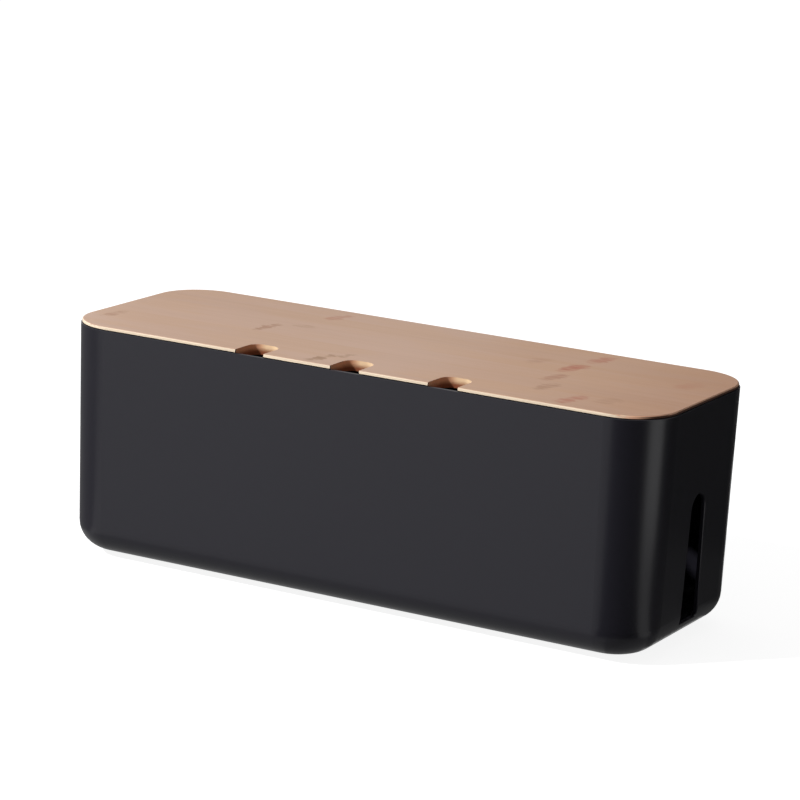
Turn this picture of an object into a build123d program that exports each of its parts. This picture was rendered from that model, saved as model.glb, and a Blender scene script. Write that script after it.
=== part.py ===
"""Desk cable box: a drafted, round-cornered moulded tub with an arched cable slot in
each end, a loose bamboo lid with three cable notches, and four stick-in rubber feet.

The length lies along X, the depth along Y with the notched side of the lid at -Y, and
Z is up. The origin is on the ground under the centre of the tub."""

import os
from math import radians, tan

from build123d import *

os.makedirs("parts", exist_ok=True)

# Overall size, in millimetres, over the rim of the tub and from the ground to the lid
box_length = 362.0
box_width = 130.0
box_height = 134.0
corner_radius = 29.0

# Tub: every wall leans outwards by the draft, so the rim is its largest outline
wall = 2.2
floor_thickness = 2.5
draft_angle = 1.1
base_edge_radius = 16.0
rim_chamfer = 0.2

# Cable slot, the same in both end walls: its sill lies a little above the tub's floor, and
# it narrows upwards and ends in a round crown
slot_sill_height = 8.0
slot_sill_width = 21.4
slot_crown_width = 17.0
slot_height = 69.5
slot_corner_radius = 1.5
slot_edge_chamfer = 0.4

# Lid: a board whose flange lies on the rim, with a step below that locates in the mouth
lid_flange = 2.2
lid_step = 4.2
lid_setback = 0.7
lid_clearance = 0.6
lid_top_rounding = 0.8
lid_flange_chamfer = 0.5
lid_step_chamfer = 0.6

# Cable notches in the front edge of the lid
notch_count = 3
notch_pitch = 59.0
notch_width = 17.8
notch_depth = 20.3
notch_corner_radius = 6.8

# Feet: round pads glued into shallow recesses under the floor
foot_height = 3.0
foot_diameter = 14.0
foot_inset = 16.0
foot_chamfer = 0.6
recess_depth = 0.8
recess_clearance = 0.2

# Heights and outlines that follow from the sizes above
rim_height = box_height - lid_flange
tub_floor = foot_height + floor_thickness
slot_sill = tub_floor + slot_sill_height
draft = tan(radians(draft_angle))
base_length = box_length - 2 * draft * (rim_height - foot_height)
base_width = box_width - 2 * draft * (rim_height - foot_height)
foot_x = base_length / 2 - base_edge_radius - foot_inset
foot_y = base_width / 2 - base_edge_radius - foot_inset
lid_length = box_length - 2 * lid_setback
lid_width = box_width - 2 * lid_setback


def drafted_outline(height, inset):
    """The tub's outer outline at a height, moved inwards all round by the inset."""
    shrink = draft * (rim_height - height) + inset
    with BuildSketch(Plane.XY.offset(height)) as outline:
        RectangleRounded(
            box_length - 2 * shrink,
            box_width - 2 * shrink,
            corner_radius - shrink,
        )
    return outline.sketch


def lowest_edges(shape):
    """The ring of edges at the bottom of a shape."""
    return shape.faces().sort_by(Axis.Z)[0].edges()


# The hollow of the tub: parallel to the outer walls, rounded along the floor
with BuildPart() as hollow:
    extrude(
        drafted_outline(tub_floor, wall),
        amount=rim_height - tub_floor,
        taper=-draft_angle,
    )
    fillet(lowest_edges(hollow), radius=base_edge_radius - wall)

# The opening through both end walls, a sill line and a crown circle joined by tangents
with BuildPart() as end_slots:
    with BuildSketch(Plane.YZ) as slot_profile:
        with BuildLine():
            Line((-slot_sill_width / 2, slot_sill), (slot_sill_width / 2, slot_sill))
            CenterArc(
                (0, slot_sill + slot_height - slot_crown_width / 2),
                slot_crown_width / 2,
                start_angle=0,
                arc_size=180,
            )
        make_hull()
        fillet(
            slot_profile.vertices().group_by(Axis.Y)[0],
            radius=slot_corner_radius,
        )
    extrude(amount=box_length / 2, both=True)

with BuildPart() as body_shell:
    extrude(
        drafted_outline(foot_height, 0),
        amount=rim_height - foot_height,
        taper=-draft_angle,
    )
    fillet(lowest_edges(body_shell), radius=base_edge_radius)
    # Cut before the hollow, so that only the slots' outer edges are there to be chamfered
    add(end_slots.part, mode=Mode.SUBTRACT)
    slot_edges = body_shell.edges(Select.LAST).filter_by(Axis.X, reverse=True)
    chamfer(slot_edges, length=slot_edge_chamfer)
    add(hollow.part, mode=Mode.SUBTRACT)
    chamfer(body_shell.faces().sort_by(Axis.Z)[-1].edges(), length=rim_chamfer)
    # Shallow round recesses that the feet are glued into
    with BuildSketch(Plane.XY.offset(foot_height)):
        with GridLocations(2 * foot_x, 2 * foot_y, 2, 2):
            Circle(foot_diameter / 2 + recess_clearance)
    extrude(amount=recess_depth, mode=Mode.SUBTRACT)

body_shell.part.label = "body_shell"
export_step(body_shell.part, "parts/body_shell.step")

with BuildPart() as lid:
    with BuildSketch(Plane.XY.offset(rim_height)):
        RectangleRounded(lid_length, lid_width, corner_radius - lid_setback)
    extrude(amount=lid_flange)
    fillet(lid.faces().sort_by(Axis.Z)[-1].edges(), radius=lid_top_rounding)
    chamfer(lowest_edges(lid), length=lid_flange_chamfer)
    # The step clears the mouth where the drafted walls are closest, at its lower end
    extrude(
        drafted_outline(rim_height - lid_step, wall + lid_clearance),
        amount=lid_step,
    )
    with BuildSketch(Plane.XY.offset(rim_height - lid_step)) as notches:
        with Locations((0, -lid_width / 2)):
            with GridLocations(notch_pitch, 0, notch_count, 1):
                Rectangle(notch_width, 2 * notch_depth)
        fillet(
            notches.vertices().group_by(Axis.Y)[-1],
            radius=notch_corner_radius,
        )
    extrude(amount=lid_flange + lid_step, mode=Mode.SUBTRACT)
    chamfer(lowest_edges(lid), length=lid_step_chamfer)

lid.part.label = "lid"
export_step(lid.part, "parts/lid.step")

for end_name, end_side in (("left", -1), ("right", 1)):
    for edge_name, edge_side in (("front", -1), ("rear", 1)):
        with BuildPart() as foot:
            with BuildSketch(Plane((end_side * foot_x, edge_side * foot_y, 0))):
                Circle(foot_diameter / 2)
            extrude(amount=foot_height + recess_depth)
            chamfer(lowest_edges(foot), length=foot_chamfer)
        foot.part.label = f"foot_{edge_name}_{end_name}"
        export_step(foot.part, f"parts/{foot.part.label}.step")
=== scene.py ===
"""Looks of the desk cable box: black satin plastic tub, bamboo lid and rubber feet, on a
plain white studio floor. Lengths are in metres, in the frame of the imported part, unless a
name ends in _MM, and angles in names with _DEG are in degrees. Colours are linear."""

from math import cos, radians, sin

import bpy
from mathutils import Euler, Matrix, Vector


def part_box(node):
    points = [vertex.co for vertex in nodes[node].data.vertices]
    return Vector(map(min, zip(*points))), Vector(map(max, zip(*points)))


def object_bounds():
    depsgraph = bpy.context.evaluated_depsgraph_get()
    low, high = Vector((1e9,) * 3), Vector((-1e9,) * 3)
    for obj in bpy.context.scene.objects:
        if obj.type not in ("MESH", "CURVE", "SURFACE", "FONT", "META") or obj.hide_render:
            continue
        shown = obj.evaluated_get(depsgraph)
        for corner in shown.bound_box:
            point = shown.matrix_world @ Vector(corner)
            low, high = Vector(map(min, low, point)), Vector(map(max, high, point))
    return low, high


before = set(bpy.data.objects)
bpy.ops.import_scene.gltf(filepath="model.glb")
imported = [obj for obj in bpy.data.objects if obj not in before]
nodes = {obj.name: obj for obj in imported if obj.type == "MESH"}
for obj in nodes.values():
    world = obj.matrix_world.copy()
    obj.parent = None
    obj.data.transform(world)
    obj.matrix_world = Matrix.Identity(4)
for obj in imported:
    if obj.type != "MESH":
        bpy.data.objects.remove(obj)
cad_low, cad_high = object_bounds()
scene = bpy.context.scene

MM = 0.001
WHITE = (1.0, 1.0, 1.0)

# Camera
CAMERA_PLACE = (0.84612, -1.55684, 0.52065)
CAMERA_TURN_DEG = (76.7807, -2.8062, 29.2017)
CAMERA_CLIP = (0.05, 50.0)
FOCAL_LENGTH_MM = 150.10
SENSOR_WIDTH_MM = 36.0

# Tub: black satin plastic with a fine spark-eroded texture. A texture or cloud is a noise,
# given by its scale (per metre), its detail and its roughness
PLASTIC_COLOUR = (0.0138, 0.0131, 0.0186)
PLASTIC_GLOSS = 0.31
PLASTIC_ROUGHNESS = (0.29, 0.31)
PLASTIC_TEXTURE = (4200.0, 3.0, 0.6)
PLASTIC_CLOUD = (22.0, 2.0, 0.5)
PLASTIC_CLOUD_STEP = (0.3, 0.7)
PLASTIC_BUMP = 0.004 * MM

# Feet: dark rubber, with grain between its colour and a shade of it
RUBBER_COLOUR = (0.017, 0.017, 0.018)
RUBBER_SHADE = 0.8
RUBBER_GLOSS = 0.5
RUBBER_ROUGHNESS = 0.75
RUBBER_TEXTURE = (1800.0, 4.0, 0.6)
RUBBER_BUMP = 0.03 * MM

# Lid: pressed bamboo. Its face lies between the first two tones, and its roughness goes from
# one value to the other over BAMBOO_ROUGHNESS_STEP of its fibres' noise
BAMBOO_LIGHT = (0.570, 0.383, 0.288)
BAMBOO_DARK = (0.510, 0.331, 0.240)
BAMBOO_GLOSS = 0.30
BAMBOO_ROUGHNESS = (0.46, 0.56)
BAMBOO_ROUGHNESS_STEP = (0.3, 0.7)
BAMBOO_SIDE_ROUGHNESS = 0.95
BAMBOO_BUMP = 0.05 * MM
BAMBOO_BUMP_STRENGTH = 0.6

# Grains of the wood: noises with one scale along x and another across it (per metre), then
# their detail and roughness
FIBRES = (22.0, 1500.0, 4.0, 0.62)
STREAKS = (7.0, 260.0, 3.0, 0.55)
CLOUDS = (9.0, 26.0, 2.0, 0.5)
HUES = (14.0, 40.0, 1.0, 0.5)
MARK_EDGES = (150.0, 260.0, 3.0, 0.5)
MARK_THREADS = (35.0, 420.0, 3.0, 0.5)
BUNDLES = (300.0, 1900.0, 2.0, 0.5)

# The board's strips run along x. The grain of each lies up to STRIP_SHIFT further along
STRIP_WIDTH = 20 * MM
STRIP_START = -57 * MM
STRIP_SHIFT = 3.0

# How much each of these adds to the face's lightness, from 0 (dark) to 1 (light)
FIBRE_WEIGHT = 0.45
STREAK_WEIGHT = 0.90
CLOUD_WEIGHT = 0.50
STRIP_WEIGHT = 0.25
LIGHTNESS_OFFSET = -0.47

# Tints that are multiplied over the face: one in clouds, where the hue noise is high, and two
# along x, which make it a little yellower over the first stretch and browner over the second,
# towards the right end: that browning is painted shade, away from the lamp
BAMBOO_OCHRE = (1.0, 0.98, 0.93)
BAMBOO_WARMER = (0.983, 0.940, 0.885)
BAMBOO_RIGHT_SHADE = (0.88, 0.81, 0.77)
OCHRE_STEP = (0.40, 0.60)
WARMER_STRETCH = (5 * MM, 70 * MM)
RIGHT_SHADE_STRETCH = (85 * MM, 190 * MM)

# The stems' nodes: middle x and y, half length along the grain, half width across it, how
# reddish and how strong each is. They lean towards +X by NODE_SLANT of their width
MARK_BROWN = (0.34, 0.20, 0.12)
MARK_RED = (0.42, 0.145, 0.090)
NODE_SLANT = 0.20
NODE_MARKS_MM = (
    (103.0, -31.0, 4.0, 10.0, 0.15, 0.70),
    (96.0, -8.0, 4.0, 10.0, 0.35, 0.90),
    (94.0, 17.5, 4.5, 12.0, 0.90, 0.95),
    (97.0, 46.0, 5.0, 11.0, 0.90, 0.70),
    (71.0, 22.0, 5.0, 9.0, 0.30, 0.40),
    (126.0, -49.0, 4.5, 12.0, 0.85, 0.80),
    (143.0, -39.0, 5.0, 8.0, 0.10, 0.40),
    (161.0, 21.0, 6.0, 10.0, 0.80, 0.35),
    (-14.0, -38.0, 2.5, 6.0, 0.00, 0.70),
    (-22.0, -50.0, 3.0, 11.0, 0.00, 1.00),
    (-67.0, 45.0, 4.0, 10.0, 0.70, 0.60),
    (-69.0, 12.0, 7.0, 4.0, 0.10, 0.60),
    (-85.0, -4.0, 2.8, 12.0, 0.20, 1.00),
    (-168.0, -31.0, 2.8, 10.0, 0.20, 0.80),
)
# A mark has faded out where the square of the way along it, in half lengths, and the fourth
# power of the way across, in half widths, add up to MARK_REACH. Its edges wander along x
# within MARK_WANDER, and between its threads MARK_FAINTEST of it is left
MARK_REACH = 1.5
MARK_WANDER = 12 * MM
MARK_THREAD_STEP = (0.35, 0.60)
MARK_FAINTEST = 0.25

# The lid's sides are paler than its face, and redder round the right corners, which turn
# away from the lamp: painted shade. Between the fibres they are a shade darker
BAMBOO_SIDE = (0.90, 0.74, 0.56)
BAMBOO_SHADED_CORNER = (0.90, 0.50, 0.32)
SIDE_SHADE = 0.86
SIDE_FIBRE_STEP = (0.35, 0.65)
# Its cut ends are dark, and a shade darker between the fibre bundles. At the right end the
# dark reaches further round the corner than at the left: painted shade, away from the lamp
BAMBOO_END = (0.10, 0.040, 0.020)
END_SHADE = 0.6
END_BUNDLE_STEP = (0.4, 0.6)
# The notch walls carry painted shade: they are redder and darker where they face +X,
# away from the lamp, and dark below the shade heights, with an edge that wanders by the
# shade rise. They lie further in than NOTCH_EDGE from the lid's front edge and nearer than
# NOTCH_ROW_HALF to the middle of its length
BAMBOO_ROUTED = (0.88, 0.63, 0.39)
BAMBOO_SHADED_JAMB = (0.90, 0.42, 0.24)
BAMBOO_NOTCH_SHADE = (0.26, 0.080, 0.035)
NOTCH_SHADE_HEIGHTS = (130.0 * MM, 133.5 * MM)
NOTCH_SHADE_RISE = 1.0 * MM
NOTCH_EDGE = 1.0 * MM
NOTCH_ROW_HALF = 75 * MM
# The chamfers below are dark: a painted shadow line under the lid's edge
BAMBOO_PAINTED_SHADOW_LINE = (0.016, 0.008, 0.005)

# The surface's normal says where the sides, ends and chamfers are, in smooth steps. First by
# how upright it is, whether it points up or down
SIDE_UPRIGHT = (0.45, 0.90)
END_UPRIGHT = (0.10, 0.45)
# Then by its x part
SHADED_JAMB_FACING_X = (-0.2, 0.9)
SHADED_CORNER_FACING_X = (0.15, 0.55)
RIGHT_END_AND_SHADE_FACING_X = (0.50, 0.85)
LEFT_END_FACING_X = (-0.98, -0.80)
# Last by its z part: a chamfer faces down, but not straight down
FACING_DOWN_Z = (-0.60, -0.50)
NOT_STRAIGHT_DOWN_Z = (-0.95, -0.85)

# One small lamp at the front left. It also shines in through the right notch, on the wall
# that shows through the end slot
KEY_LAMP_PLACE = (-1.34, -1.75, 1.66)
KEY_LAMP_TARGET = (0.0, 0.0, 0.06)
KEY_LAMP_SIZE = 0.07
KEY_LAMP_WATTS = 71.0

# Light from all round, weaker from the right. It changes over these x parts of the direction
# that it comes from
AMBIENT_LEFT = 0.50
AMBIENT_RIGHT = 0.14
AMBIENT_STEP_X = (-0.6, 0.6)

# White floor. Its glow is there for the camera and for reflections only
FLOOR_COLOUR = (0.40, 0.40, 0.40)
FLOOR_SHOWN_GLOW = 0.88
FLOOR_REFLECTED_GLOW = 0.47
FLOOR_SIZE = 14.0

# Upright axes of the tub's corners, which have this radius at the rim
CORNER_RADIUS = 29.0 * MM
RIGHT_CORNER = (cad_high[0] - CORNER_RADIUS, cad_low[1] + CORNER_RADIUS)
LEFT_CORNER = (cad_low[0] + CORNER_RADIUS, cad_low[1] + CORNER_RADIUS)
REAR_CORNER = (cad_high[0] - CORNER_RADIUS, cad_high[1] - CORNER_RADIUS)

# Cards round the object that only reflections see. Each lies on the floor, on top of those
# below it in the list, and goes round the corners' axes between two distances from them. It
# may turn up at its outer edge. Bearings are in degrees from -Y towards +X, and a stretch
# from a bearing to itself is only a corner of the card. The contact, shade and near rear
# cards are painted shade: the floor's shadow round the base, as reflections show it
CARDS = (
    # name, stretches of (corner, bearings), nearest and farthest, height, brightness
    ("contact_shadow_front", ((LEFT_CORNER, -90, 0), (RIGHT_CORNER, 0, 12)), 0.010, 0.042, 0.0, 0.47),
    ("contact_shadow_corner", ((RIGHT_CORNER, 12, 90),), 0.010, 0.042, 0.0, 0.29),
    ("contact_shadow_right", ((RIGHT_CORNER, 90, 90), (REAR_CORNER, 90, 150)), 0.010, 0.021, 0.0, 0.85),
    ("shade_right", ((RIGHT_CORNER, 90, 90), (REAR_CORNER, 90, 150)), 0.020, 0.046, 0.0, 0.13),
    ("dark_front_right", ((RIGHT_CORNER, -5, 72),), 0.042, 0.90, 0.5, 0.02),
    # Glows as a painted strip highlight, seen in reflections only; it is no lamp
    ("strip_highlight_right", ((RIGHT_CORNER, 72, 105),), 0.240, 0.90, 0.5, 1.70),
    ("near_rear_right", ((RIGHT_CORNER, 98, 175),), 0.045, 0.22, 0.0, 0.065),
    ("far_rear_right", ((RIGHT_CORNER, 105, 178),), 0.220, 0.90, 0.7, 0.036),
    ("dark_rear", ((RIGHT_CORNER, 178, 215),), 0.440, 0.45, 0.3, 0.06),
    ("dim_rear", ((RIGHT_CORNER, 215, 250),), 0.440, 0.45, 0.3, 0.40),
    ("dim_left", ((LEFT_CORNER, -150, -46),), 0.042, 1.50, 0.0, 0.22),
)
CARD_LIFT = 0.2 * MM
CARD_STEPS = 12


class Graph:
    """A material's or the world's nodes, with short ways to add and join them."""

    def __init__(self, tree):
        self.tree = tree
        tree.nodes.clear()

    def add(self, kind, inputs=None, **settings):
        node = self.tree.nodes.new(kind)
        for name, value in settings.items():
            setattr(node, name, value)
        for name, value in (inputs or {}).items():
            self.feed(node.inputs[name], value)
        return node

    def feed(self, socket, value):
        if isinstance(value, bpy.types.NodeSocket):
            self.tree.links.new(value, socket)
        elif isinstance(value, tuple) and len(value) == 3 and socket.type == "RGBA":
            socket.default_value = (*value, 1.0)
        else:
            socket.default_value = value

    def math(self, operation, *values):
        inputs = dict(enumerate(values))
        return self.add("ShaderNodeMath", inputs, operation=operation).outputs[0]

    def rise(self, value, low, high, start=0.0, end=1.0):
        """A smooth step from start to end, while value goes from low to high."""
        inputs = {
            "Value": value,
            "From Min": low,
            "From Max": high,
            "To Min": start,
            "To Max": end,
        }
        node = self.add("ShaderNodeMapRange", inputs, interpolation_type="SMOOTHSTEP")
        return node.outputs["Result"]

    def fall(self, value, low, high):
        return self.rise(value, low, high, 1.0, 0.0)

    def mix(self, factor, first, second, blend="MIX"):
        inputs = {0: factor, 6: first, 7: second}
        node = self.add("ShaderNodeMix", inputs, data_type="RGBA", blend_type=blend)
        return node.outputs[2]

    def noise(self, place, scale, detail, roughness):
        inputs = {
            "Vector": place,
            "Scale": scale,
            "Detail": detail,
            "Roughness": roughness,
        }
        return self.add("ShaderNodeTexNoise", inputs).outputs["Fac"]

    def grain(self, place, along, across, detail, roughness):
        inputs = {"Vector": place, "Scale": (along, across, across)}
        stretched = self.add("ShaderNodeMapping", inputs, vector_type="POINT").outputs[0]
        return self.noise(stretched, 1.0, detail, roughness)

    def bump(self, height, distance, strength=1.0):
        inputs = {"Height": height, "Distance": distance, "Strength": strength}
        return self.add("ShaderNodeBump", inputs).outputs[0]

    def split(self, vector):
        return self.add("ShaderNodeSeparateXYZ", {"Vector": vector}).outputs

    def finish_surface(self, colour, roughness, gloss, normal):
        inputs = {
            "Base Color": colour,
            "Roughness": roughness,
            "Specular IOR Level": gloss,
            "Normal": normal,
        }
        shader = self.add("ShaderNodeBsdfPrincipled", inputs)
        self.add("ShaderNodeOutputMaterial", {"Surface": shader.outputs[0]})


def new_material(name):
    material = bpy.data.materials.new(name)
    material.use_nodes = True
    return material, Graph(material.node_tree)


def shaded(colour, shade):
    return tuple(shade * part for part in colour)


def plastic_material():
    material, graph = new_material("tub_plastic")
    place = graph.add("ShaderNodeTexCoord").outputs["Object"]
    texture = graph.noise(place, *PLASTIC_TEXTURE)
    cloud = graph.noise(place, *PLASTIC_CLOUD)
    roughness = graph.rise(cloud, *PLASTIC_CLOUD_STEP, *PLASTIC_ROUGHNESS)
    bump = graph.bump(texture, PLASTIC_BUMP)
    graph.finish_surface(PLASTIC_COLOUR, roughness, PLASTIC_GLOSS, bump)
    return material


def rubber_material():
    material, graph = new_material("foot_rubber")
    place = graph.add("ShaderNodeTexCoord").outputs["Object"]
    texture = graph.noise(place, *RUBBER_TEXTURE)
    tone = graph.mix(texture, shaded(RUBBER_COLOUR, RUBBER_SHADE), RUBBER_COLOUR)
    bump = graph.bump(texture, RUBBER_BUMP)
    graph.finish_surface(tone, RUBBER_ROUGHNESS, RUBBER_GLOSS, bump)
    return material


def bamboo_strips(graph, place, y):
    """A chance from 0 to 1 for each strip, and a place along whose x the strips are shifted
    by it, so that each strip's grain starts anew."""
    strip = graph.math("MULTIPLY_ADD", y, 1 / STRIP_WIDTH, -STRIP_START / STRIP_WIDTH)
    number = graph.math("FLOOR", strip)
    picker = graph.add("ShaderNodeTexWhiteNoise", {"W": number}, noise_dimensions="1D")
    chance = picker.outputs["Value"]
    along = graph.math("MULTIPLY", chance, STRIP_SHIFT)
    shift = graph.add("ShaderNodeCombineXYZ", {"X": along}).outputs[0]
    moved = graph.add("ShaderNodeVectorMath", {0: place, 1: shift}, operation="ADD")
    return chance, moved.outputs[0]


def node_mark_masks(graph, x, y):
    """How brown and how red the bamboo is, from all its node marks together."""
    brown, red = 0.0, 0.0
    leaned_x = graph.math("MULTIPLY_ADD", y, -NODE_SLANT, x)
    for mark_x, mark_y, half_x, half_y, redness, strength in NODE_MARKS_MM:
        leaned_middle = mark_x - NODE_SLANT * mark_y
        along = graph.math("MULTIPLY_ADD", leaned_x, 1 / (half_x * MM), -leaned_middle / half_x)
        across = graph.math("MULTIPLY_ADD", y, 1 / (half_y * MM), -mark_y / half_y)
        along_squared = graph.math("MULTIPLY", along, along)
        across_squared = graph.math("MULTIPLY", across, across)
        away = graph.math("MULTIPLY_ADD", across_squared, across_squared, along_squared)
        mask = graph.fall(away, 0.0, MARK_REACH)
        brown = graph.math("MULTIPLY_ADD", mask, strength * (1 - redness), brown)
        red = graph.math("MULTIPLY_ADD", mask, strength * redness, red)
    return brown, red


def add_node_marks(graph, colour, place, strip_place, x, y):
    wander = graph.grain(place, *MARK_EDGES)
    wander_shift = graph.math("MULTIPLY_ADD", wander, MARK_WANDER, -MARK_WANDER / 2)
    brown, red = node_mark_masks(graph, graph.math("ADD", x, wander_shift), y)
    threads = graph.grain(strip_place, *MARK_THREADS)
    strength = graph.rise(threads, *MARK_THREAD_STEP, MARK_FAINTEST, 1.0)
    colour = graph.mix(graph.math("MULTIPLY", brown, strength), colour, MARK_BROWN)
    return graph.mix(graph.math("MULTIPLY", red, strength), colour, MARK_RED)


def face_tone(graph, place, strip_place, strip_chance, fibre, x):
    """The tone of the lid's face, without its node marks."""
    weighed = (
        (fibre, FIBRE_WEIGHT),
        (graph.grain(strip_place, *STREAKS), STREAK_WEIGHT),
        (graph.grain(place, *CLOUDS), CLOUD_WEIGHT),
        (strip_chance, STRIP_WEIGHT),
    )
    lightness = LIGHTNESS_OFFSET
    for part, weight in weighed:
        lightness = graph.math("MULTIPLY_ADD", part, weight, lightness)
    colour = graph.mix(lightness, BAMBOO_DARK, BAMBOO_LIGHT)
    tints = (
        (graph.rise(graph.grain(strip_place, *HUES), *OCHRE_STEP), BAMBOO_OCHRE),
        (graph.rise(x, *WARMER_STRETCH), BAMBOO_WARMER),
        # Painted shade: browner towards the right end, away from the lamp
        (graph.rise(x, *RIGHT_SHADE_STRETCH), BAMBOO_RIGHT_SHADE),
    )
    for amount, tint in tints:
        colour = graph.mix(amount, colour, tint, blend="MULTIPLY")
    return colour


def side_tone(graph, fibre, facing_x):
    fibre_light = graph.rise(fibre, *SIDE_FIBRE_STEP)
    tone = graph.mix(fibre_light, shaded(BAMBOO_SIDE, SIDE_SHADE), BAMBOO_SIDE)
    # Painted shade: redder round the right corners, which face away from the lamp
    return graph.mix(graph.rise(facing_x, *SHADED_CORNER_FACING_X), tone, BAMBOO_SHADED_CORNER)


def notch_wall_tone(graph, bundles, facing_x, z):
    # Painted shade: redder where the jambs face +X, and dark low in the notch
    shaded_jamb = graph.rise(facing_x, *SHADED_JAMB_FACING_X)
    tone = graph.mix(shaded_jamb, BAMBOO_ROUTED, BAMBOO_SHADED_JAMB)
    shade_height = graph.math("MULTIPLY_ADD", bundles, NOTCH_SHADE_RISE, z)
    return graph.mix(graph.rise(shade_height, *NOTCH_SHADE_HEIGHTS), BAMBOO_NOTCH_SHADE, tone)


def end_tone(graph, bundles):
    bundle_light = graph.rise(bundles, *END_BUNDLE_STEP)
    return graph.mix(bundle_light, shaded(BAMBOO_END, END_SHADE), BAMBOO_END)


def notch_mask(graph, x, y):
    """1 on the walls of the notches, and 0 on the lid's other sides."""
    inside = graph.math("GREATER_THAN", y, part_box("lid")[0][1] + NOTCH_EDGE)
    in_front = graph.math("LESS_THAN", y, 0.0)
    in_middle = graph.math("LESS_THAN", graph.math("ABSOLUTE", x), NOTCH_ROW_HALF)
    return graph.math("MULTIPLY", inside, graph.math("MULTIPLY", in_middle, in_front))


def cut_end_mask(graph, in_notch, facing_x, upright):
    """1 on the cut ends, but not on the rounding above them, which is as pale as the sides,
    nor in the notches. At the right end it reaches further round the corner, as painted shade."""
    right_end_and_shade = graph.rise(facing_x, *RIGHT_END_AND_SHADE_FACING_X)
    left_end = graph.fall(facing_x, *LEFT_END_FACING_X)
    either_end = graph.math("MAXIMUM", right_end_and_shade, left_end)
    below_rounding = graph.math("MULTIPLY", either_end, graph.fall(upright, *END_UPRIGHT))
    return graph.math("MULTIPLY", below_rounding, graph.math("SUBTRACT", 1.0, in_notch))


def bamboo_material():
    material, graph = new_material("bamboo")
    coordinates = graph.add("ShaderNodeTexCoord").outputs
    place = coordinates["Object"]
    x, y, z = graph.split(place)
    facing_x, _, facing_z = graph.split(coordinates["Normal"])
    upright = graph.math("ABSOLUTE", facing_z)
    strip_chance, strip_place = bamboo_strips(graph, place, y)
    fibre = graph.grain(strip_place, *FIBRES)
    bundles = graph.grain(place, *BUNDLES)

    colour = face_tone(graph, place, strip_place, strip_chance, fibre, x)
    colour = add_node_marks(graph, colour, place, strip_place, x, y)

    in_notch = notch_mask(graph, x, y)
    sideways = graph.fall(upright, *SIDE_UPRIGHT)
    sides = side_tone(graph, fibre, facing_x)
    sides = graph.mix(in_notch, sides, notch_wall_tone(graph, bundles, facing_x, z))
    colour = graph.mix(sideways, colour, sides)
    cut_end = cut_end_mask(graph, in_notch, facing_x, upright)
    colour = graph.mix(cut_end, colour, end_tone(graph, bundles))
    # Painted shadow line: the chamfers that face down are darkened
    downwards = graph.fall(facing_z, *FACING_DOWN_Z)
    not_straight = graph.rise(facing_z, *NOT_STRAIGHT_DOWN_Z)
    painted_shadow_mask = graph.math("MULTIPLY", downwards, not_straight)
    colour = graph.mix(painted_shadow_mask, colour, BAMBOO_PAINTED_SHADOW_LINE)

    face_roughness = graph.rise(fibre, *BAMBOO_ROUGHNESS_STEP, *BAMBOO_ROUGHNESS)
    roughness_inputs = {0: sideways, 2: face_roughness, 3: BAMBOO_SIDE_ROUGHNESS}
    roughness = graph.add("ShaderNodeMix", roughness_inputs).outputs[0]
    bump = graph.bump(fibre, BAMBOO_BUMP, BAMBOO_BUMP_STRENGTH)
    graph.finish_surface(colour, roughness, BAMBOO_GLOSS, bump)
    return material


def dress(node_name, material):
    slots = nodes[node_name].data.materials
    slots.clear()
    slots.append(material)


def floor_material():
    """A lit white floor that carries the object's shadow, with a glow that only the camera
    and reflections see."""
    material, graph = new_material("floor_white")
    ray = graph.add("ShaderNodeLightPath").outputs
    reflected = graph.math("MAXIMUM", ray["Is Glossy Ray"], ray["Is Transmission Ray"])
    glow_strength = graph.math("MULTIPLY", reflected, FLOOR_REFLECTED_GLOW)
    glow_strength = graph.math(
        "MULTIPLY_ADD", ray["Is Camera Ray"], FLOOR_SHOWN_GLOW, glow_strength
    )
    diffuse = graph.add("ShaderNodeBsdfDiffuse", {"Color": FLOOR_COLOUR}).outputs[0]
    glow = graph.add("ShaderNodeEmission", {"Color": WHITE, "Strength": glow_strength})
    both = graph.add("ShaderNodeAddShader", {0: diffuse, 1: glow.outputs[0]}).outputs[0]
    graph.add("ShaderNodeOutputMaterial", {"Surface": both})
    return material


def build_floor():
    half = FLOOR_SIZE / 2
    corners = [(-half, -half, 0), (half, -half, 0), (half, half, 0), (-half, half, 0)]
    mesh = bpy.data.meshes.new("floor")
    mesh.from_pydata(corners, [], [(0, 1, 2, 3)])
    floor = bpy.data.objects.new("floor", mesh)
    scene.collection.objects.link(floor)
    floor.data.materials.append(floor_material())


def card_mesh(name, stretches, nearest, farthest, lift, height):
    """A band round the corners, with a wall of that height at its outer edge."""
    rings = [(nearest, lift), (farthest, lift)]
    if height:
        rings.append((farthest, lift + height))
    points = []
    for radius, z in rings:
        for corner, first, last in stretches:
            for step in range(CARD_STEPS + 1):
                bearing = radians(first + (last - first) * step / CARD_STEPS)
                x = corner[0] + radius * sin(bearing)
                y = corner[1] - radius * cos(bearing)
                points.append((x, y, z))
    row = len(points) // len(rings)
    faces = []
    for ring_start in range(0, len(points) - row, row):
        for start in range(ring_start, ring_start + row - 1):
            faces.append((start, start + 1, start + row + 1, start + row))
    mesh = bpy.data.meshes.new(name)
    mesh.from_pydata(points, [], faces)
    return mesh


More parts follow.
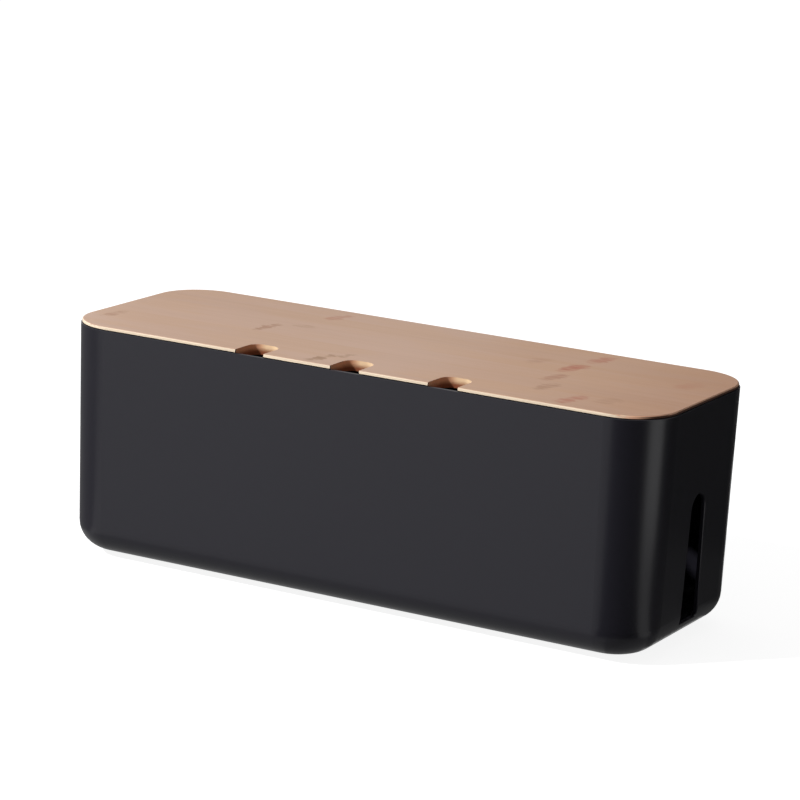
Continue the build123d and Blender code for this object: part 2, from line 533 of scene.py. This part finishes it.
def build_cards():
    for order, card_settings in enumerate(reversed(CARDS), start=1):
        name, stretches, nearest, farthest, height, brightness = card_settings
        material, graph = new_material(name)
        shade = graph.add("ShaderNodeEmission", {"Color": WHITE, "Strength": brightness})
        graph.add("ShaderNodeOutputMaterial", {"Surface": shade.outputs[0]})
        mesh = card_mesh(name, stretches, nearest, farthest, order * CARD_LIFT, height)
        mesh.materials.append(material)
        card = bpy.data.objects.new(name, mesh)
        scene.collection.objects.link(card)
        card.visible_camera = False
        card.visible_diffuse = False
        card.visible_transmission = False
        card.visible_shadow = False


def build_world():
    """White to the camera and to reflections, and soft light to everything else."""
    world = bpy.data.worlds.new("studio")
    world.use_nodes = True
    scene.world = world
    graph = Graph(world.node_tree)
    ray = graph.add("ShaderNodeLightPath").outputs
    shown = graph.math("MAXIMUM", ray["Is Glossy Ray"], ray["Is Transmission Ray"])
    shown = graph.math("MAXIMUM", ray["Is Camera Ray"], shown)
    direction = graph.add("ShaderNodeTexCoord").outputs["Generated"]
    direction_x = graph.split(direction)[0]
    ambient = graph.rise(direction_x, *AMBIENT_STEP_X, AMBIENT_LEFT, AMBIENT_RIGHT)
    strength = graph.math("MAXIMUM", shown, ambient)
    background = graph.add("ShaderNodeBackground", {"Color": WHITE, "Strength": strength})
    graph.add("ShaderNodeOutputWorld", {"Surface": background.outputs[0]})


def build_key_lamp():
    light = bpy.data.lights.new("key_lamp", "AREA")
    light.shape = "SQUARE"
    light.size = KEY_LAMP_SIZE
    light.energy = KEY_LAMP_WATTS
    lamp = bpy.data.objects.new("key_lamp", light)
    scene.collection.objects.link(lamp)
    lamp.location = KEY_LAMP_PLACE
    direction = Vector(KEY_LAMP_TARGET) - Vector(KEY_LAMP_PLACE)
    lamp.rotation_euler = direction.to_track_quat("-Z", "Y").to_euler()


def build_camera():
    lens = bpy.data.cameras.new("camera")
    lens.lens = FOCAL_LENGTH_MM
    lens.sensor_width = SENSOR_WIDTH_MM
    lens.clip_start, lens.clip_end = CAMERA_CLIP
    camera = bpy.data.objects.new("camera", lens)
    scene.collection.objects.link(camera)
    camera.location = CAMERA_PLACE
    camera.rotation_euler = Euler([radians(angle) for angle in CAMERA_TURN_DEG], "XYZ")
    scene.camera = camera


dress("body_shell", plastic_material())
dress("lid", bamboo_material())
rubber = rubber_material()
for foot_name in sorted(n for n in nodes if n.startswith("foot_")):
    dress(foot_name, rubber)

build_floor()
build_cards()
build_world()
build_key_lamp()
build_camera()

scene.view_settings.view_transform = "Standard"
